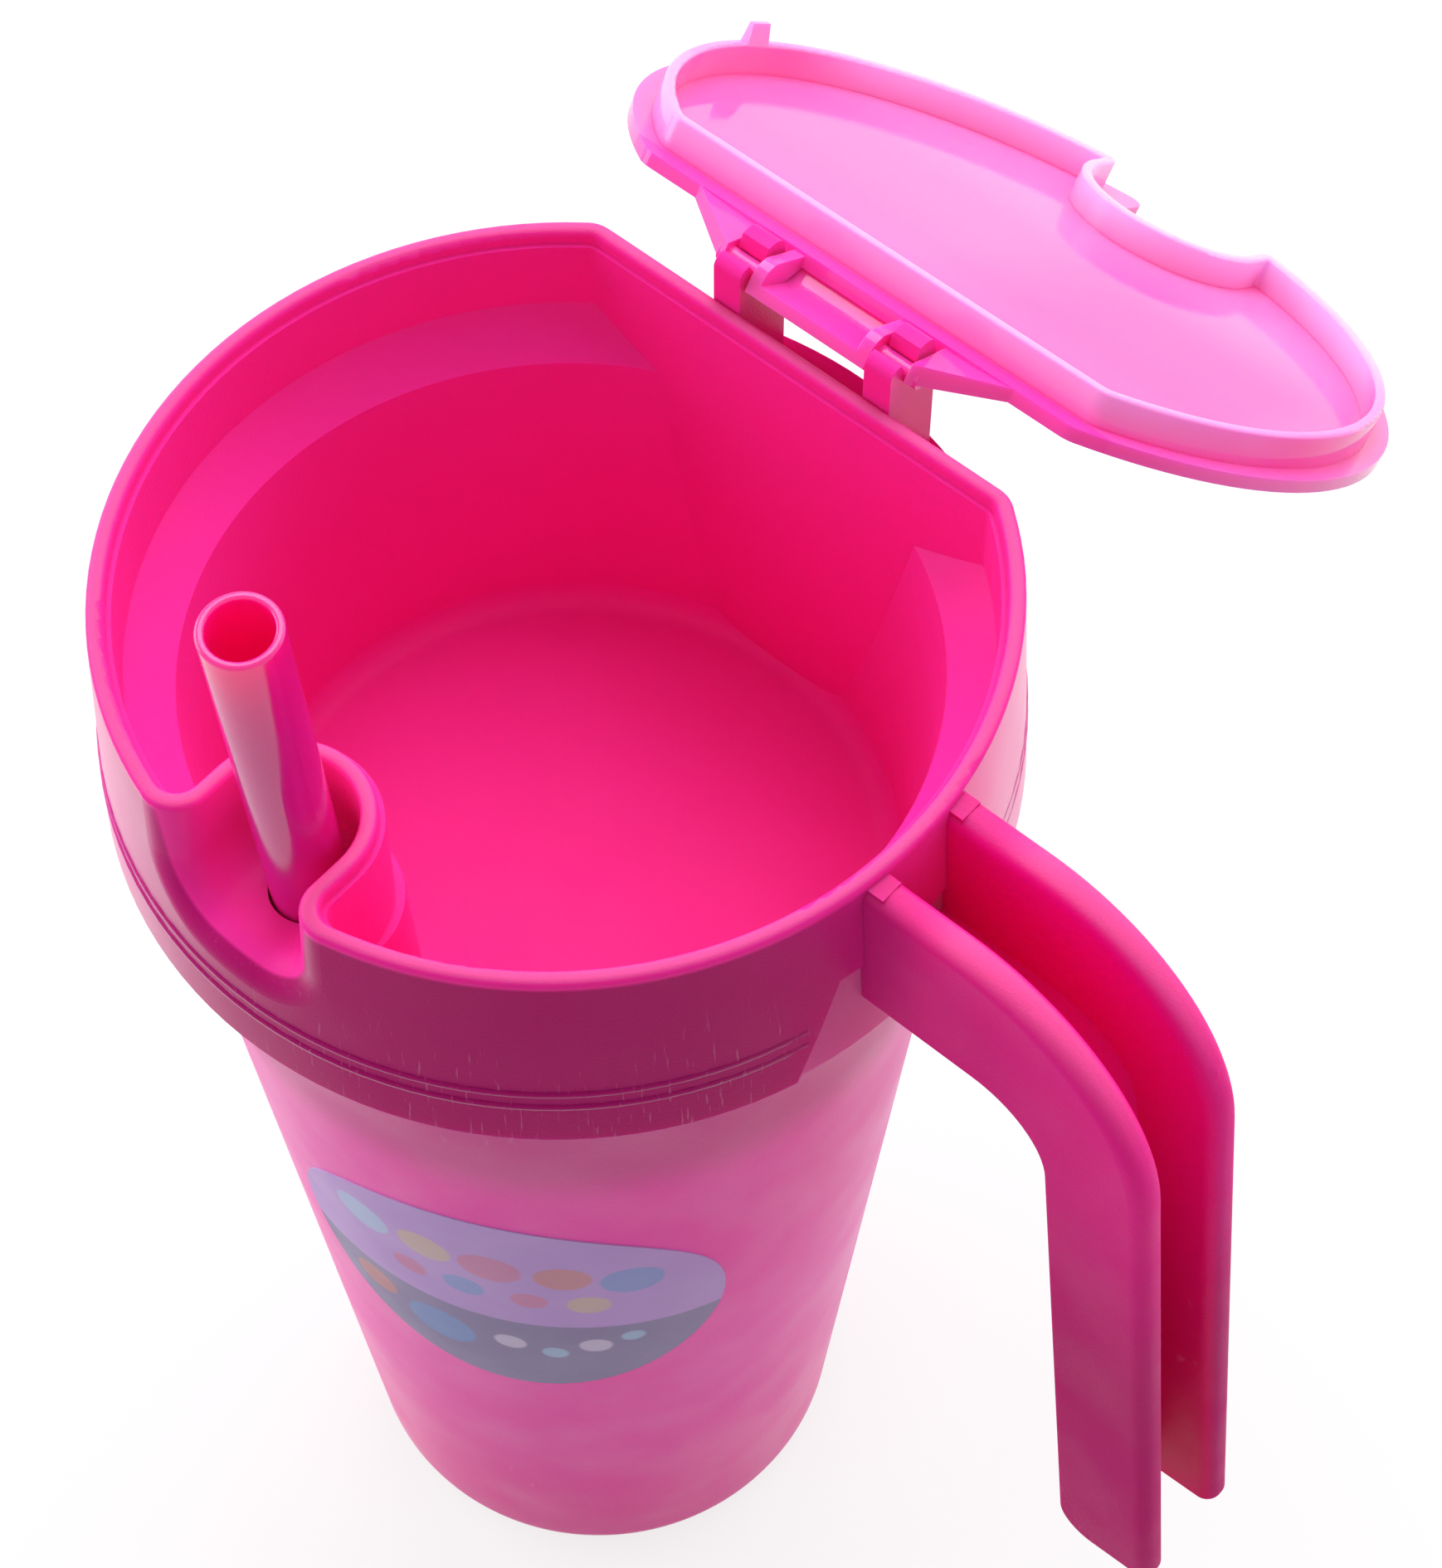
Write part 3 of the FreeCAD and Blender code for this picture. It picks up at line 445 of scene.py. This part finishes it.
# Seal: flat ring of soft whitish silicone, pressed between the cup's rim and the bowl's shoulder.
# It is hidden until the bowl is lifted.
SILICONE = (0.80, 0.78, 0.76, 1)
SILICONE_DUSTY = (0.62, 0.58, 0.57, 1)

seal_rubber, tree, shader = new_plastic("seal_silicone")
skin = use_effect(
    tree, mould_skin, Grain_per_metre=2600.0, Grain=0.5, Waviness=0.3, Gloss_from=0.5, Gloss_to=0.65
)
body = use_effect(
    tree, pigment_drift, Tone=SILICONE, Deep_tone=SILICONE_DUSTY, Cloud_per_metre=60.0, Amount=0.4
)
finish_plastic(tree, shader, body["Colour"], skin, skin["Height"], FINE_SKIN_DEPTH)
milky(shader, 0.4, 0.002)
dress("seal_ring", seal_rubber)


# Snack bowl: one thick moulding with its collar, straw bay, deck and flat back, in strong pink.
# Its collar has two fine moulded lines and pale scuffs near the foot, a sunk panel under the handle,
# and a thread inside.
# The collar's front carries painted shade, and the rim's top a painted sheen.
BOWL_PINK = (0.95, 0.030, 0.37, 1)
BOWL_DEEP = (0.92, 0.016, 0.28, 1)
COLLAR_PAINTED_SHADE = (0.47, 0.004, 0.15, 1)
COLLAR_SHADE_SIDE = (0.5, -0.866)
BOWL_SCUFF = (0.80, 0.42, 0.58, 1)
RIM_PAINTED_SHEEN = (0.82, 0.085, 0.33, 1)
PANEL_PALE = (0.74, 0.11, 0.36, 1)
PANEL_TOP = 0.185
PANEL_HALF_TOP = 0.0122
PANEL_SLOPE = 0.397
PANEL_SOFT = 0.0004
COLLAR_LINES = (0.1785, 0.1760)
COLLAR_LINE_HALF = 0.0006
LINE_GAP = math.radians(18)
COLLAR_LINE_PROUD = 0.00022
COLLAR_THREAD_RADIUS = 0.05178
COLLAR_THREAD_PROUD = 0.0006
RIM_RADIUS = 0.052
RIM_TOP = 0.2
COLLAR_INSIDE = 0.0514
COLLAR_OUTSIDE = 0.0519
COLLAR_FLARE = 0.067
SCUFF_HEIGHT = 0.186
SCUFF_SOFT = 0.012
BOWL_GLOSS = 0.06


def upward(tree, start, end):
    """0 on the sides, and 1 where the surface faces up."""
    normal = add(tree, "ShaderNodeTexCoord").outputs["Normal"]
    return ease(tree, add(tree, "ShaderNodeSeparateXYZ", (), {0: normal}).outputs[2], start, end)


def bowl_finish(name, collared, milk):
    """Strong pink plastic. A collar gets painted shade in front, pale scuffs low down, a pale panel and a
    painted sheen on its rim top.
    """
    material, tree, shader = new_plastic(name)
    skin = use_effect(
        tree, mould_skin, Grain_per_metre=3600.0, Grain=0.25, Waviness=0.5, Gloss_from=0.3, Gloss_to=0.42
    )
    pink = use_effect(
        tree, pigment_drift, Tone=BOWL_PINK, Deep_tone=BOWL_DEEP, Cloud_per_metre=26.0, Amount=0.3
    )
    colour = pink["Colour"]
    if collared:
        x, y, z = place(tree)[1:]
        radius = calc(tree, "SQRT", calc(tree, "MULTIPLY_ADD", x, x, calc(tree, "MULTIPLY", y, y)))
        out = ease(tree, radius, COLLAR_INSIDE, COLLAR_OUTSIDE)
        # Painted shade: the collar's outside is darker on its front side, below the rim
        sideways = calc(tree, "MULTIPLY", y, COLLAR_SHADE_SIDE[1])
        side = calc(tree, "MULTIPLY_ADD", x, COLLAR_SHADE_SIDE[0], sideways)
        shadow_side = ease(tree, calc(tree, "DIVIDE", side, radius), 0.35, 0.9)
        below_rim = ease(tree, z, RIM_TOP - 0.0008, RIM_TOP - 0.0016)
        collar = calc(tree, "MULTIPLY", calc(tree, "MULTIPLY", out, shadow_side), below_rim)
        colour = tint(tree, collar, colour, COLLAR_PAINTED_SHADE)
        rubs = use_effect(
            tree, rub_marks, Marks_per_metre=2400.0, Length=22.0, Patches_per_metre=50.0, Cover=0.58
        )
        low = ease(tree, z, SCUFF_HEIGHT + SCUFF_SOFT, SCUFF_HEIGHT - SCUFF_SOFT)
        mask = calc(tree, "MULTIPLY", calc(tree, "MULTIPLY", rubs["Mask"], low), out)
        colour = tint(tree, calc(tree, "MULTIPLY", mask, 0.22), colour, BOWL_SCUFF)
        reach = calc(tree, "MULTIPLY_ADD", calc(tree, "SUBTRACT", PANEL_TOP, z), PANEL_SLOPE, PANEL_HALF_TOP)
        beside = calc(tree, "SUBTRACT", calc(tree, "ABSOLUTE", y), reach)
        below = ease(tree, z, PANEL_TOP, PANEL_TOP - PANEL_SOFT)
        panel = calc(tree, "MULTIPLY", ease(tree, beside, 0.0, -PANEL_SOFT), below)
        panel = calc(tree, "MULTIPLY", calc(tree, "MULTIPLY", panel, out), calc(tree, "GREATER_THAN", x, 0.0))
        colour = tint(tree, panel, colour, PANEL_PALE)
        # Painted sheen: the rim's upward-facing top is paler
        at_rim = ease(tree, z, RIM_TOP - 0.0020, RIM_TOP - 0.0008)
        colour = tint(tree, calc(tree, "MULTIPLY", upward(tree, 0.6, 0.95), at_rim), colour, RIM_PAINTED_SHEEN)
    finish_plastic(tree, shader, colour, skin, skin["Height"], SKIN_DEPTH)
    shader.inputs["Specular IOR Level"].default_value = BOWL_GLOSS
    milky(shader, milk, 0.004)
    if collared:
        frosted(tree, shader, 0.52, 0.85, out)
    else:
        frosted(tree, shader, 0.5, 0.8, 0.45)
    return material


bowl_plastic = bowl_finish("bowl_plastic", True, 0.25)
dress("snack_bowl", bowl_plastic)

form = bmesh.new()
wound_ridge(
    form,
    COLLAR_THREAD_RADIUS,
    THREAD_START,
    -COLLAR_THREAD_PROUD,
    THREAD_HALF,
    turns=THREAD_TURNS,
    pitch=THREAD_PITCH,
)
collar_thread = new_piece("collar_thread", form, bowl_plastic)
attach(collar_thread, "bowl")

# Two fine lines round the collar, open where the handle's panel is sunk
form = bmesh.new()
for line in COLLAR_LINES:
    line_radius = RIM_RADIUS + COLLAR_FLARE * (RIM_TOP - line)
    wound_ridge(
        form, line_radius, line, COLLAR_LINE_PROUD, COLLAR_LINE_HALF, LINE_GAP, 1 - LINE_GAP / math.pi
    )
collar_lines = new_piece("collar_lines", form, bowl_plastic)
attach(collar_lines, "bowl")


# Handle: an open channel of the same pink, moulded on the bowl's side.
# Its flanges have a fine matt grain with small pale scuffs from handling.
# Its colour carries painted shade low down, at the root and low in the channel, and painted light on the
# flange tops and in the channel.
HANDLE_PINK = (0.90, 0.018, 0.30, 1)
HANDLE_DEEP = (0.88, 0.008, 0.22, 1)
HANDLE_TOP_PAINTED_LIGHT = (0.95, 0.085, 0.34, 1)
HANDLE_ROOT_PAINTED_SHADE = (0.50, 0.004, 0.16, 1)
HANDLE_CHANNEL_PAINTED_BOUNCE = (0.97, 0.004, 0.27, 1)
HANDLE_CHANNEL_LOW_PAINTED_SHADE = (0.72, 0.002, 0.14, 1)
HANDLE_LOW_PAINTED_SHADE = (0.52, 0.007, 0.16, 1)
CHANNEL_HALF = 0.00445
HANDLE_BEND = 0.185
HANDLE_FOOT = 0.125
CHANNEL_FOOT = 0.115

handle_plastic, tree, shader = new_plastic("handle_plastic")
x, y, z = place(tree)[1:]
skin = use_effect(
    tree, mould_skin, Grain_per_metre=4200.0, Grain=0.8, Waviness=0.3, Gloss_from=0.4, Gloss_to=0.55
)
pink = use_effect(
    tree, pigment_drift, Tone=HANDLE_PINK, Deep_tone=HANDLE_DEEP, Cloud_per_metre=30.0, Amount=0.3
)
# Painted shade: the handle darkens from its bend down to its foot
colour = tint(tree, ease(tree, z, HANDLE_BEND, HANDLE_FOOT), pink["Colour"], HANDLE_LOW_PAINTED_SHADE)
# Painted shade: darker close to the root on the collar
root_painted_shade = calc(tree, "MULTIPLY", ease(tree, x, RIM_RADIUS + 0.0100, RIM_RADIUS + 0.0015), 0.6)
colour = tint(tree, root_painted_shade, colour, HANDLE_ROOT_PAINTED_SHADE)
# Painted light: upward-facing tops past the root are paler
past_root = calc(tree, "MULTIPLY_ADD", ease(tree, x, RIM_RADIUS + 0.0055, RIM_RADIUS + 0.0115), 0.6, 0.4)
colour = tint(tree, calc(tree, "MULTIPLY", upward(tree, 0.25, 0.95), past_root), colour, HANDLE_TOP_PAINTED_LIGHT)
# Painted light between the flanges: redder bounce light in the channel, with painted shade lower down
inside = ease(tree, calc(tree, "ABSOLUTE", y), CHANNEL_HALF + 0.0012, CHANNEL_HALF + 0.0002)
channel = tint(tree, ease(tree, z, HANDLE_BEND, CHANNEL_FOOT), HANDLE_CHANNEL_PAINTED_BOUNCE, HANDLE_CHANNEL_LOW_PAINTED_SHADE)
colour = tint(tree, inside, colour, channel)
rubs = use_effect(tree, rub_marks, Marks_per_metre=500.0, Length=2.0, Patches_per_metre=90.0, Cover=0.36)
colour = tint(tree, calc(tree, "MULTIPLY", rubs["Mask"], 0.35), colour, BOWL_SCUFF)
finish_plastic(tree, shader, colour, skin, skin["Height"], FINE_SKIN_DEPTH)
milky(shader, 0.3, 0.003)
shader.inputs["Specular IOR Level"].default_value = BOWL_GLOSS
dress("carry_handle", handle_plastic)


# Hinge posts: two stubs of the bowl's moulding that stand on its back ledge.
# The lid's pins snap into their jaws.
post_plastic = bowl_finish("post_plastic", False, 0.12)
dress("hinge_posts", post_plastic)


# Straw: a smooth extruded tube of pink plastic with rounded ends.
# It leans in its hole, with its foot in the corner of the cup.
STRAW_PINK = (0.99, 0.008, 0.27, 1)
STRAW_DEEP = (0.98, 0.004, 0.20, 1)
STRAW_GLOSS = 0.6

straw_plastic, tree, shader = new_plastic("straw_plastic")
skin = use_effect(
    tree, mould_skin, Grain_per_metre=1500.0, Grain=0.05, Waviness=0.2, Gloss_from=0.1, Gloss_to=0.16
)
pink = use_effect(
    tree, pigment_drift, Tone=STRAW_PINK, Deep_tone=STRAW_DEEP, Cloud_per_metre=24.0, Amount=0.3
)
finish_plastic(tree, shader, pink["Colour"], skin, skin["Height"], FINE_SKIN_DEPTH)
milky(shader, 0.85, 0.006)
shader.inputs["Specular IOR Level"].default_value = STRAW_GLOSS
dress("drinking_straw", straw_plastic)


# Lid: a thin moulding of lighter, translucent pink, shown swung right back.
# Its tongue and wings are thicker and get a deeper tone, partly as painted shade. Its thin plug skirt carries
# painted light.
LID_PINK = (0.97, 0.20, 0.53, 1)
LID_DEEP = (0.97, 0.045, 0.46, 1)
LID_EDGE_PAINTED_HIGHLIGHT = (1.0, 0.36, 0.74, 1)
LID_PAINTED_BACKLIGHT = (0.97, 0.60, 0.94, 1)
LID_SKIRT_PAINTED_LIGHT = (0.97, 0.34, 0.75, 1)
LID_RIGHT_PAINTED_SHADE = (0.97, 0.025, 0.40, 1)
LID_GLOSS = 0.4
LID_OPEN = math.radians(216.6)
HINGE = Vector((0, 0.0454, 0.2037))
PLATE_LOW = 0.20025 - HINGE.z
SKIRT_LOW = 0.19585 - HINGE.z
SKIRT_BACK = -0.0086
HINGE_SIDE = -0.0080

lid_plastic, tree, shader = new_plastic("lid_plastic")
x, y, z = place(tree)[1:]
from_y = calc(tree, "SUBTRACT", y, HINGE.y)
from_z = calc(tree, "SUBTRACT", z, HINGE.z)
open_cos, open_sin = math.cos(LID_OPEN), math.sin(LID_OPEN)
closed_y = calc(tree, "MULTIPLY_ADD", from_y, open_cos, calc(tree, "MULTIPLY", from_z, -open_sin))
closed_z = calc(tree, "MULTIPLY_ADD", from_y, open_sin, calc(tree, "MULTIPLY", from_z, open_cos))
skin = use_effect(
    tree, mould_skin, Grain_per_metre=1500.0, Grain=0.01, Waviness=0.06, Gloss_from=0.06, Gloss_to=0.10
)
pink = use_effect(
    tree, pigment_drift, Tone=LID_PINK, Deep_tone=LID_DEEP, Cloud_per_metre=14.0, Amount=0.12
)

# Tints by place on the closed lid, mostly painted light and shade, each fade with its start and its end in
# metres
skirt_root_shade = ease(tree, calc(tree, "ABSOLUTE", calc(tree, "SUBTRACT", closed_z, PLATE_LOW)), 0.0006, 0.0)
# Painted reflection of the pink bowl: deeper towards the hinge side
bowl_reflection = ease(tree, closed_y, -0.05, -0.012)
colour = tint(tree, calc(tree, "MULTIPLY", bowl_reflection, 0.5), pink["Colour"], LID_DEEP)
# Deeper tone on the tongue and wings: thicker plastic, and painted shade under the wings
hinge_parts = ease(tree, closed_y, SKIRT_BACK, HINGE_SIDE)
colour = tint(tree, calc(tree, "MULTIPLY", hinge_parts, 0.7), colour, LID_DEEP)
# Painted shade: a deeper zone on the right of the plate, towards the near skirt
right_part = calc(tree, "MULTIPLY", ease(tree, x, -0.008, 0.014), ease(tree, x, 0.047, 0.035))
right_shade = calc(tree, "MULTIPLY", right_part, ease(tree, closed_y, -0.085, -0.05))
colour = tint(tree, calc(tree, "MULTIPLY", right_shade, 0.6), colour, LID_RIGHT_PAINTED_SHADE)
skirt = ease(tree, closed_z, PLATE_LOW + 0.0002, SKIRT_LOW)
# Painted light: the near skirt's outside is paler, most towards its free edge
near_side = ease(tree, closed_y, HINGE_SIDE, SKIRT_BACK)
near = calc(tree, "MULTIPLY", ease(tree, closed_y, -0.035, -0.025), near_side)
on_skirt = ease(tree, closed_z, PLATE_LOW + 0.0002, PLATE_LOW - 0.0004)
near_fade = calc(tree, "MULTIPLY_ADD", skirt, 0.5, 0.5)
near_skirt_light = calc(tree, "MULTIPLY", calc(tree, "MULTIPLY", near, on_skirt), near_fade)
colour = tint(tree, near_skirt_light, colour, LID_SKIRT_PAINTED_LIGHT)
# Painted shade: a dark line where the skirt meets the plate
colour = tint(tree, calc(tree, "MULTIPLY", skirt_root_shade, 0.3), colour, LID_DEEP)
# Painted light: the far skirt is pale, as if lit through from behind
far_skirt = calc(tree, "MULTIPLY", on_skirt, calc(tree, "MULTIPLY_ADD", skirt, 0.6, 0.4))
far_backlight = calc(tree, "MULTIPLY", far_skirt, ease(tree, closed_y, -0.055, -0.075))
colour = tint(tree, far_backlight, colour, LID_PAINTED_BACKLIGHT)
right_end = calc(tree, "MULTIPLY", on_skirt, ease(tree, x, 0.034, 0.047))
colour = tint(tree, calc(tree, "MULTIPLY", right_end, 0.5), colour, LID_DEEP)
# Painted highlight along the skirt's free edge
edge_highlight = ease(tree, closed_z, SKIRT_LOW + 0.0005, SKIRT_LOW + 0.0001)
colour = tint(tree, calc(tree, "MULTIPLY", edge_highlight, 0.5), colour, LID_EDGE_PAINTED_HIGHLIGHT)
finish_plastic(tree, shader, colour, skin, skin["Height"], SKIN_DEPTH)
milky(shader, 0.5, 0.006)
shader.inputs["Specular IOR Level"].default_value = LID_GLOSS
dress("snack_lid", lid_plastic)


# Table: a plain white sheet that the cup stands on, for the picture only.
# It looks white to the camera, and it keeps the cup's shadow.
TABLE_WHITE = (0.95, 0.95, 0.95, 1)
TABLE_BOUNCE = (0.6, 0.6, 0.6, 1)
TABLE_SIZE = 12
TABLE_LEVEL = -0.0002
TABLE_SHARE = 0.78


def seen_directly(tree):
    """1 for what the camera sees, also in gloss and through clear things, and 0 for other light."""
    rays = add(tree, "ShaderNodeLightPath").outputs
    mirrored = calc(tree, "MAXIMUM", rays["Is Glossy Ray"], rays["Is Transmission Ray"])
    return calc(tree, "MAXIMUM", rays["Is Camera Ray"], mirrored)


bpy.ops.mesh.primitive_plane_add(size=TABLE_SIZE, location=(0, 0, TABLE_LEVEL))
table = bpy.context.object
table.name = "table"
table_paint, tree, shader = new_plastic("table_paint")
shader.inputs["Roughness"].default_value = 0.7
shader.inputs["Specular IOR Level"].default_value = 0.1
seen = seen_directly(tree)
tree.links.new(tint(tree, seen, TABLE_BOUNCE, TABLE_WHITE), shader.inputs["Base Color"])
white = add(tree, "ShaderNodeEmission", (), {"Color": (1, 1, 1, 1), "Strength": 1.0})
share = calc(tree, "MULTIPLY", seen, TABLE_SHARE)
both = add(tree, "ShaderNodeMixShader", (), {0: share, 1: shader.outputs[0], 2: white.outputs[0]})
tree.links.new(both.outputs[0], tree.nodes["Material Output"].inputs["Surface"])
table.data.materials.append(table_paint)


# Soft studio light: a white room that is dimmer in front,
# with large panels above and behind, on the left, and weakly at the back right.
ROOM_LIGHT = 0.8
ROOM_FRONT_LIGHT = 0.48
ROOM_FRONT = (0.55, -0.64, 0.54)

scene = bpy.context.scene
scene.view_settings.view_transform = "Standard"
scene.world = bpy.data.worlds.new("white_room")
scene.world.use_nodes = True
tree = scene.world.node_tree
tree.nodes.clear()
seen = seen_directly(tree)
direction = add(tree, "ShaderNodeTexCoord").outputs["Generated"]
towards = add(
    tree, "ShaderNodeVectorMath", {"operation": "DOT_PRODUCT"}, {0: direction, 1: ROOM_FRONT}
)
front = ease(tree, towards.outputs["Value"], -0.1, 0.7)
lit = calc(tree, "MULTIPLY_ADD", front, ROOM_FRONT_LIGHT - ROOM_LIGHT, ROOM_LIGHT)
strength = calc(tree, "MAXIMUM", lit, seen)
room = add(tree, "ShaderNodeBackground", (), {"Color": (1, 1, 1, 1), "Strength": strength})
room_out = tree.nodes.new("ShaderNodeOutputWorld")
tree.links.new(room.outputs[0], room_out.inputs["Surface"])


def soft_panel(name, position, target, size, power):
    """Large square lamp that faces a point."""
    lamp = bpy.data.lights.new(name, "AREA")
    lamp.size = size
    lamp.energy = power
    panel = bpy.data.objects.new(name, lamp)
    panel.location = position
    panel.rotation_euler = (Vector(target) - Vector(position)).to_track_quat("-Z", "Y").to_euler()
    scene.collection.objects.link(panel)


soft_panel("top_panel", (-0.25, 0.55, 1.15), (0, 0, 0.15), 0.9, 10.0)
soft_panel("left_panel", (-1.15, -0.45, 0.5), (0, 0, 0.12), 1.0, 9.5)
soft_panel("right_panel", (0.55, 1.1, 0.6), (0, 0, 0.12), 0.9, 3.5)

# Camera: above the cup's front right, as in the photograph
CAMERA_PLACE = (0.1751, -0.1751, 0.54099)
CAMERA_AZIMUTH = math.radians(40.782)
CAMERA_HEIGHT = math.radians(57.213)
PHOTO_FOCAL = 4579.5
PHOTO_ROWS = 1890
SENSOR = 36.0

camera_data = bpy.data.cameras.new("camera")
camera_data.sensor_fit = "VERTICAL"
camera_data.sensor_height = SENSOR
camera_data.lens = PHOTO_FOCAL / PHOTO_ROWS * SENSOR
camera_data.clip_start = 0.01
camera = bpy.data.objects.new("camera", camera_data)
scene.collection.objects.link(camera)
right = Vector((math.cos(CAMERA_AZIMUTH), math.sin(CAMERA_AZIMUTH), 0))
back = Vector((
    math.sin(CAMERA_AZIMUTH) * math.cos(CAMERA_HEIGHT),
    -math.cos(CAMERA_AZIMUTH) * math.cos(CAMERA_HEIGHT),
    math.sin(CAMERA_HEIGHT),
))
turned = Matrix((right, back.cross(right), back)).transposed().to_4x4()
camera.matrix_world = Matrix.Translation(CAMERA_PLACE) @ turned
scene.camera = camera
